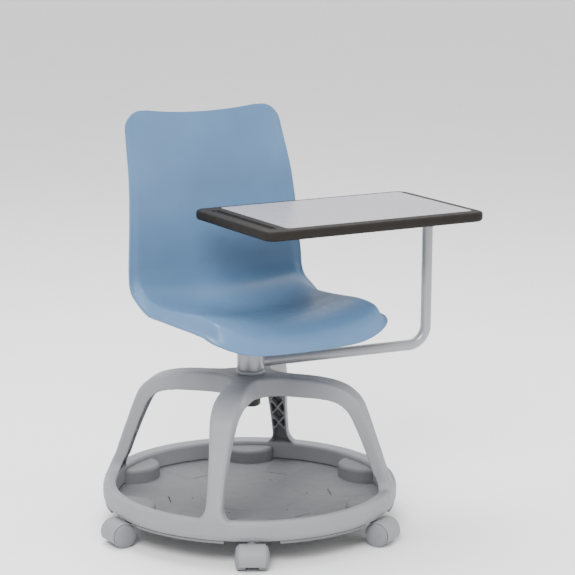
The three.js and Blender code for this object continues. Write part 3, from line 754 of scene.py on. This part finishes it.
# ------------------------------------------------------------------ tablet arm
def arm_path():
    bend_angle = -(math.pi / 2 - math.atan(ARM_RISE))
    centre_x = ARM_REACH - ARM_BEND_R
    start_x = centre_x + ARM_BEND_R * math.cos(bend_angle)
    start_z = ARM_START_Z + ARM_RISE * (start_x - ARM_START_R)
    centre_z = start_z - ARM_BEND_R * math.sin(bend_angle)
    points = []
    for k in range(12):
        x = ARM_START_R + (start_x - ARM_START_R) * k / 12
        points.append((Vector((x, 0, ARM_START_Z + ARM_RISE * (x - ARM_START_R))), math.atan(ARM_RISE)))
    for k in range(33):
        angle = bend_angle * (1 - k / 32)
        at = Vector((centre_x + ARM_BEND_R * math.cos(angle), 0, centre_z + ARM_BEND_R * math.sin(angle)))
        points.append((at, angle + math.pi / 2))
    for k in range(1, 9):
        points.append((Vector((ARM_REACH, 0, centre_z + (ARM_TOP_Z - centre_z) * k / 8)), math.pi / 2))
    return points


def ring_round(station, radius):
    """A ring of the given radius round one station of the arm's path."""
    at, lean = station
    side = Vector((-math.sin(lean), 0, math.cos(lean)))
    ring = []
    for j in range(48):
        a = TAU * j / 48
        across = Vector((0, 1, 0)) * (radius * math.sin(a))
        ring.append(tuple(at + side * (radius * math.cos(a)) + across))
    return ring


def arm_tube():
    path = arm_path()
    bore = ARM_TUBE_R - ARM_TUBE_WALL
    rings = [ring_round(path[0], bore)]
    rings += [ring_round(station, ARM_TUBE_R) for station in path]
    rings += [ring_round(station, bore) for station in reversed(path[1:])]
    shape = loft(rings, close_ends=False, close_loop=True)
    obj = new_object("arm_tube_bent", *moved(shape, turn_z(ARM_AZIMUTH)))
    return finished(obj, "arm", painted, ["arm_tube"], 50)


def arm_collar():
    outline = fillet(
        [
            (SLEEVE_BORE_R, FOOT_RING_TOP_Z + GAP), (SLEEVE_R, FOOT_RING_TOP_Z + GAP),
            (SLEEVE_R, ARM_COLLAR_TOP_Z), (SLEEVE_BORE_R, ARM_COLLAR_TOP_Z),
        ],
        0.8,
        4,
    )
    obj = new_object("arm_collar_sleeve", *turned(outline, 128))
    reach = Matrix.Rotation(math.pi / 2 - math.atan(ARM_RISE), 4, "Y")
    place = turn_z(ARM_AZIMUTH) @ Matrix.Translation((ARM_START_R - GAP, 0, ARM_START_Z)) @ reach
    boolean(obj, "DIFFERENCE", moved(disc(ARM_TUBE_R + GAP, 0, 60, 64), place))
    bead = []
    for k in range(96):
        a = TAU * k / 96
        y = (ARM_TUBE_R + 0.6) * math.cos(a)
        z = ARM_START_Z + (ARM_TUBE_R + 0.6) * math.sin(a) + 0.15
        x = math.sqrt(SLEEVE_R**2 - y**2)
        bead.append(Vector((x, y, z)))
    rings = []
    for k, point in enumerate(bead):
        ahead = (bead[(k + 1) % 96] - bead[k - 1]).normalized()
        out = Vector((0, point.y, point.z - ARM_START_Z)).normalized()
        up = ahead.cross(out)
        swell = 1.5 + 0.18 * math.sin(k * TAU / 6)
        ring = []
        for j in range(10):
            a = TAU * j / 10
            ring.append(tuple(point + (out * math.cos(a) + up * math.sin(a)) * swell))
        rings.append(ring)
    boolean(obj, "UNION", moved(loft(rings, close_loop=True), turn_z(ARM_AZIMUTH)))
    return finished(obj, "arm", painted, ["arm_collar"], 40)


arm_tube()
arm_collar()


# ------------------------------------------------------------------ tablet
PIVOT = towards(90 + ARM_AZIMUTH, ARM_REACH)


def tablet_pivot():
    cup = fillet(
        [
            (0, ARM_TOP_Z + GAP, 0), (11.3, ARM_TOP_Z + GAP, 0.4), (11.3, PIVOT_CUP_Z, 0.6),
            (17, PIVOT_CUP_Z, 1.2), (17, 609, 3), (22, 615.5, 0), (0, 615.5, 0),
        ],
        0.6,
        5,
    )
    levels = [(1, PIVOT_PLATE_Z), (0, PIVOT_PLATE_Z + 0.6), (0, 617.7), (0.6, 618.2)]
    obj = new_object("tablet_pivot_plate", *stacked_rectangle(PIVOT_PLATE, 12, levels))
    boolean(obj, "UNION", turned(cup, 96))
    holes = [moved(disc(2.6, 600, 640, 24), Matrix.Translation((x, y, 0))) for x, y in TABLET_SCREWS]
    boolean(obj, "DIFFERENCE", joined(holes))
    obj.data.transform(Matrix.Translation((PIVOT.x * MM, PIVOT.y * MM, 0)))
    return finished(obj, "tablet", tablet_plastic, ["tablet_pivot"])


def tablet_frame():
    rim = [
        (7.0, TABLET_BOTTOM_Z), (4.2, 618.9), (2.2, 620.1), (0.7, 622.3), (0.0, 625.5), (0.0, 631.5),
        (0.5, 634.4), (1.7, 636.6), (3.6, 637.7), (5.6, TABLET_TOP_Z),
    ]
    outline = (TABLET_X0, TABLET_X1, TABLET_Y0, TABLET_Y1)
    obj = new_object("tablet_rim", *stacked_rectangle(outline, 24, rim, 14))
    x0, x1, y0, y1 = INSET
    cuts = [stacked_rectangle((x0, x1, y0, y1), 10, [(0, 635), (0, 645)], 8)]
    cuts.append(
        stacked_rectangle(
            (-60, -44, TABLET_Y0 + 34, TABLET_Y1 - 34), 7.9,
            [(5.4, 633.0), (2.6, 633.4), (0.8, 634.8), (0, 636.8), (-0.9, 638.4), (-0.9, 645)], 8,
        )
    )
    for px0, px1 in ((-26, 74), (77, 177), (180, 280)):
        for py0, py1 in ((-198, -107), (-104, -16), (-13, 78)):
            levels = [(0, 600), (0, 630.6), (1.4, 632)]
            cuts.append(stacked_rectangle((px0, px1, py0, py1), 3.5, levels, 4))
    for x, y in TABLET_SCREWS:
        place = Matrix.Translation((PIVOT.x + x, PIVOT.y + y, 0))
        cuts.append(moved(disc(2.6, 600, 632.3, 24), place))
    boolean(obj, "DIFFERENCE", joined(cuts))
    return finished(obj, "tablet", tablet_plastic, ["tablet_frame"], 32)


def tablet_top():
    x0, x1, y0, y1 = INSET
    levels = [(0.6, 635.3), (GAP, 635.6), (GAP, 637.5), (0.7, 637.8)]
    obj = new_object("tablet_laminate", *stacked_rectangle((x0, x1, y0, y1), 10, levels, 10))
    return finished(obj, "tablet", laminate, ["tablet_top"], 30)


tablet_pivot()
tablet_frame()
tablet_top()


# ------------------------------------------------------------------ seat
SHELL_LINE = (
    (-231, 403), (-229, 412), (-222, 424), (-209, 435), (-190, 443), (-165, 448), (-130, 449),
    (-90, 446), (-45, 441), (0, 437), (45, 435.5), (85, 439), (115, 447), (138, 460), (153, 478),
    (161, 500), (165, 530), (168, 565), (172, 605), (178, 650), (187, 700), (198, 750),
    (209, 790), (218, 824),
)
SHELL_ACROSS = 72
SHELL_ALONG = 150


class ShellLine:
    """The shell's centre line, measured by length."""

    def __init__(self):
        self.points = smooth_line(SHELL_LINE, 24)
        self.reach = [0.0]
        for a, b in zip(self.points, self.points[1:]):
            self.reach.append(self.reach[-1] + (b - a).length)
        self.length = self.reach[-1]

    def at(self, along):
        want = min(1.0, max(0.0, along)) * self.length
        low, high = 0, len(self.reach) - 1
        while high - low > 1:
            middle = (low + high) // 2
            if self.reach[middle] <= want:
                low = middle
            else:
                high = middle
        share = (want - self.reach[low]) / (self.reach[high] - self.reach[low])
        return self.points[low].lerp(self.points[high], share)

    def direction(self, along):
        return (self.at(along + 0.002) - self.at(along - 0.002)).normalized()


def smooth(low, high, value):
    t = min(1.0, max(0.0, (value - low) / (high - low)))
    return t * t * (3 - 2 * t)


def shell_half_width(along):
    pan = 200 + 3 * smooth(0, 0.35, along) - 3 * smooth(0.45, 0.59, along)
    return pan - 58 * max(0.0, along - 0.59)


def shell_rise(along, edge, start):
    """How far the shell stands off its centre line: sides cupped, and the very edge rolled away.

    It grows from 0 all along the front lip, so the side's rolled edge runs into the lip.
    """
    cup = 29 - 11 * smooth(0.8, 0.95, along)
    pan_roll = 33 - 10 * smooth(0.15, 0.35, along)
    roll = pan_roll - 11 * smooth(0.38, 0.48, along) - 8 * smooth(0.5, 0.6, along)
    return smooth(0, 0.06, along - start) * (cup * edge**2.4 - roll * smooth(0.88, 1, edge))


def corner_drop(across, half, radius):
    over = min(radius, max(0.0, abs(across) * half - (half - radius)))
    return radius - math.sqrt(radius**2 - over**2)


def shell_point(line, across, share):
    start = (0.48 * corner_drop(across, 200, 110) + 9 * across**2) / line.length
    dip = 7 * (1 - min(1.0, (across / 0.7) ** 2))
    end = 1 - (corner_drop(across, 176, 38) + dip) / line.length
    along = start + (end - start) * share
    centre = line.at(along)
    tangent = line.direction(along)
    rise = shell_rise(along, abs(across), start)
    x = shell_half_width(along) * across
    return Vector((x, centre.x - tangent.y * rise, centre.y + tangent.x * rise))


def bunched(i, count, amount):
    t = 2 * i / count - 1
    return (1 - amount) * t + amount * math.sin(t * math.pi / 2)


def shell_grid(line):
    """Points and normals of the sitter's face of the shell, row by row from the front lip."""
    points = []
    for j in range(SHELL_ALONG + 1):
        share = (bunched(j, SHELL_ALONG, 0.35) + 1) / 2
        across = [bunched(i, SHELL_ACROSS, 0.6) for i in range(SHELL_ACROSS + 1)]
        points.append([shell_point(line, u, share) for u in across])
    normals = []
    for j, row in enumerate(points):
        normals.append([])
        for i in range(len(row)):
            du = row[min(i + 1, SHELL_ACROSS)] - row[max(i - 1, 0)]
            dv = points[min(j + 1, SHELL_ALONG)][i] - points[max(j - 1, 0)][i]
            normals[-1].append(du.cross(dv).normalized())
    return points, normals


def seat_shell():
    line = ShellLine()
    points, normals = shell_grid(line)
    columns, rows = SHELL_ACROSS + 1, SHELL_ALONG + 1
    verts = []
    for depth in (0.0, SHELL_THICK):
        for j in range(rows):
            verts.extend(tuple(points[j][i] - normals[j][i] * depth) for i in range(columns))
    rim = [(i, 0) for i in range(SHELL_ACROSS)]
    rim += [(SHELL_ACROSS, j) for j in range(SHELL_ALONG)]
    rim += [(i, SHELL_ALONG) for i in range(SHELL_ACROSS, 0, -1)]
    rim += [(0, j) for j in range(SHELL_ALONG, 0, -1)]
    upper = [j * columns + i for i, j in rim]
    lower = [rows * columns + k for k in upper]
    faces = []
    for j in range(SHELL_ALONG):
        for i in range(SHELL_ACROSS):
            a = j * columns + i
            quad = (a, a + 1, a + columns + 1, a + columns)
            faces.append(quad)
            faces.append(tuple(rows * columns + v for v in reversed(quad)))
    for k in range(len(rim)):
        m = (k + 1) % len(rim)
        faces.append((upper[k], lower[k], lower[m], upper[m]))
    obj = new_object("seat_shell_moulding", verts, faces)
    bevelled(obj, 1.3, 3, 50)
    bosses = []
    for x, y, top in SEAT_SCREWS:
        foot = SEAT_PLATE_TOP_Z + GAP
        outline = fillet([(3, foot), (9, foot), (9, top), (3, top)], 0.4, 2)
        bosses.append(moved(turned(outline, 32), Matrix.Translation((x, y, 0))))
    boolean(obj, "UNION", joined(bosses))
    return finished(obj, "seat", shell_plastic, ["seat_shell"], 40)


def seat_mount():
    round_piece(
        "seat_hub_casting",
        [
            (0, POST_TOP_Z + GAP, 0), (SLEEVE_BORE_R, POST_TOP_Z + GAP, 0.3),
            (SLEEVE_BORE_R, ARM_COLLAR_TOP_Z + GAP, 0.6), (SLEEVE_R, ARM_COLLAR_TOP_Z + GAP, 0.8),
            (SLEEVE_R, POST_TOP_Z, 10), (33, 412, 8), (46, 416.5, 2),
            (46, SEAT_PLATE_Z - GAP, 0.6), (0, SEAT_PLATE_Z - GAP, 0),
        ],
        0.5, "seat", painted, ["seat_hub"], 6,
    )
    levels = [
        (1, SEAT_PLATE_Z), (0, SEAT_PLATE_Z + 0.6), (0, SEAT_PLATE_TOP_Z - 0.6), (0.6, SEAT_PLATE_TOP_Z),
    ]
    obj = new_object("seat_mount_plate", *stacked_rectangle((-88, 88, -82, 96), 20, levels, 8))
    holes = [moved(disc(2.9, 400, 440, 24), Matrix.Translation((x, y, 0))) for x, y, top in SEAT_SCREWS]
    boolean(obj, "DIFFERENCE", joined(holes))
    finished(obj, "seat", painted, ["seat_plate"])


seat_shell()
seat_mount()


# ------------------------------------------------------------------ casters
ALONG_Y = Matrix.Rotation(math.radians(-90), 4, "X")


def on_axle(shape):
    """Turns a piece made about +Z to lie about the wheels' axle, +Z becoming +Y."""
    return moved(shape, Matrix.Translation((TRAIL, 0, WHEEL_R)) @ ALONG_Y)


def hood_mesh():
    outline = fillet(
        [(0, -HOOD_HALF, 0), (HOOD_R, -HOOD_HALF, 1.0), (HOOD_R, HOOD_HALF, 1.0), (0, HOOD_HALF, 0)], 1, 3
    )
    obj = new_object("hood", *on_axle(turned(outline, 128)))
    wells = [
        on_axle(disc(WHEEL_R + 0.8, FORK_HALF, 40, 128)),
        on_axle(disc(WHEEL_R + 0.8, -40, -FORK_HALF, 128)),
    ]
    boolean(obj, "DIFFERENCE", joined(wells))
    boolean(obj, "DIFFERENCE", block(-60, 60, -60, 60, -20, 12))
    front = [block(-60, 2, -60, -FORK_HALF, -20, WHEEL_R), block(-60, 2, FORK_HALF, 60, -20, WHEEL_R)]
    boolean(obj, "DIFFERENCE", joined(front))
    bevelled(obj, 0.7, 2, 50)
    neck = fillet([(0, 40, 0), (10, 40, 0), (10, 51.5, 1.2), (0, 51.5, 0)], 1, 4)
    boolean(obj, "UNION", turned(neck, 64))
    boolean(obj, "DIFFERENCE", disc(5.8, 34, 60, 32))
    boolean(obj, "DIFFERENCE", on_axle(disc(3.3, -FORK_HALF - 1, FORK_HALF + 1, 24)))
    return taken(obj)


def wheel_mesh(side):
    outline = fillet(
        [
            (0, 31, 0), (3.3, 31, 0.2), (3.3, 12.5, 0.3), (23.5, 12.5, 1.2), (23.5, 29, 1.6),
            (21.6, 30.1, 0.3), (21.2, 29.6, 0.3), (20.6, 30.4, 0.3), (16, 31.9, 6), (9, 33.0, 4),
            (0, 33.5, 0),
        ],
        0.3,
        3,
    )
    wheel = turned(outline, 96)
    if side < 0:
        wheel = moved(wheel, Matrix.Rotation(math.pi, 4, "X"))
    return on_axle(wheel)


def casters():
    hood = hood_mesh()
    wheels = {"left": wheel_mesh(1), "right": wheel_mesh(-1)}
    for number, azimuth in enumerate(CASTER_AZIMUTHS, 1):
        body = f"caster_{number}"
        at_stem = Matrix.Translation(towards(azimuth, STEM_CIRCLE_R))
        place = turn_z(BASE_TURN) @ at_stem @ turn_z(azimuth - 90)
        obj = new_object(f"{body}_hood_shell", *moved(hood, place))
        finished(obj, body, caster_plastic, [f"{body}_hood"], 32)
        for side, wheel in wheels.items():
            obj = new_object(f"{body}_disc_{side}", *moved(wheel, place))
            rides = f"{body}_wheel_{side}"
            finished(obj, rides, wheel_plastic, [rides], 40)


casters()


# ------------------------------------------------------------------ CAD nodes that stay
for node_name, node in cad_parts.items():
    if node.hide_render:
        continue
    finish = zinc if "screw" in node_name else column_steel
    node.data.materials.clear()
    node.data.materials.append(finish)


# ------------------------------------------------------------------ floor, light and camera
FLOOR_HALF = 40000.0
# The camera's place in metres, its direction in degrees, and its lens in widths of the sensor.
CAMERA_PLACE = (-2.01879, -3.49795, 1.32457)
CAMERA_AZIMUTH = -30.46
CAMERA_ELEVATION = 11.79
CAMERA_ROLL = 0.42
CAMERA_LENS = 3.5652174
SENSOR_WIDTH = 36.0


def floor_material():
    m = Nodes("floor")
    clouds = m.spread(m.noise(3.0, 4.0), 0.3, 0.7)
    m.drive("Base Color", m.mix(clouds, (0.86, 0.86, 0.865), (0.88, 0.88, 0.882)))
    m.drive("Roughness", m.spread(m.noise(11.0, 4.0), 0.3, 0.7, 0.6, 0.7))
    return m.material


def floor():
    far = FLOOR_HALF
    corners = [(-far, -far, 0), (far, -far, 0), (far, far, 0), (-far, far, 0)]
    obj = new_object("floor", corners, [(0, 1, 2, 3)])
    obj.data.materials.append(floor_material())


def area_light(name, place, target, size, power, colour=(1, 1, 1)):
    data = bpy.data.lights.new(name, "AREA")
    data.shape = "DISK"
    data.size = size
    data.energy = power
    data.color = colour
    light = bpy.data.objects.new(name, data)
    light.location = place
    light.rotation_euler = (Vector(target) - Vector(place)).to_track_quat("-Z", "Y").to_euler()
    bpy.context.scene.collection.objects.link(light)


def world_light(strength):
    world = bpy.data.worlds.new("studio")
    world.use_nodes = True
    background = world.node_tree.nodes["Background"]
    background.inputs["Color"].default_value = (1.0, 1.0, 1.0, 1.0)
    background.inputs["Strength"].default_value = strength
    bpy.context.scene.world = world


def camera():
    azimuth, elevation, roll = (math.radians(a) for a in (CAMERA_AZIMUTH, CAMERA_ELEVATION, CAMERA_ROLL))
    level = Vector((math.sin(azimuth), -math.cos(azimuth), 0))
    back = level * math.cos(elevation) + Vector((0, 0, math.sin(elevation)))
    right = Vector((math.cos(azimuth), math.sin(azimuth), 0))
    up = back.cross(right)
    x_axis = right * math.cos(roll) + up * math.sin(roll)
    y_axis = up * math.cos(roll) - right * math.sin(roll)
    data = bpy.data.cameras.new("camera")
    data.sensor_width = SENSOR_WIDTH
    data.lens = CAMERA_LENS * SENSOR_WIDTH
    view = bpy.data.objects.new("camera", data)
    turn = Matrix((x_axis, y_axis, back)).transposed().to_4x4()
    view.matrix_world = Matrix.Translation(CAMERA_PLACE) @ turn
    bpy.context.scene.collection.objects.link(view)
    bpy.context.scene.camera = view


floor()
area_light("key", (-2.2, -2.6, 3.2), (0, 0, 0.35), 2.2, 230)
area_light("fill", (3.4, -2.2, 2.0), (0, 0, 0.4), 3.0, 46)
area_light("top", (0.2, 1.0, 3.6), (0, 0, 0.4), 2.6, 170)
world_light(1.35)
camera()
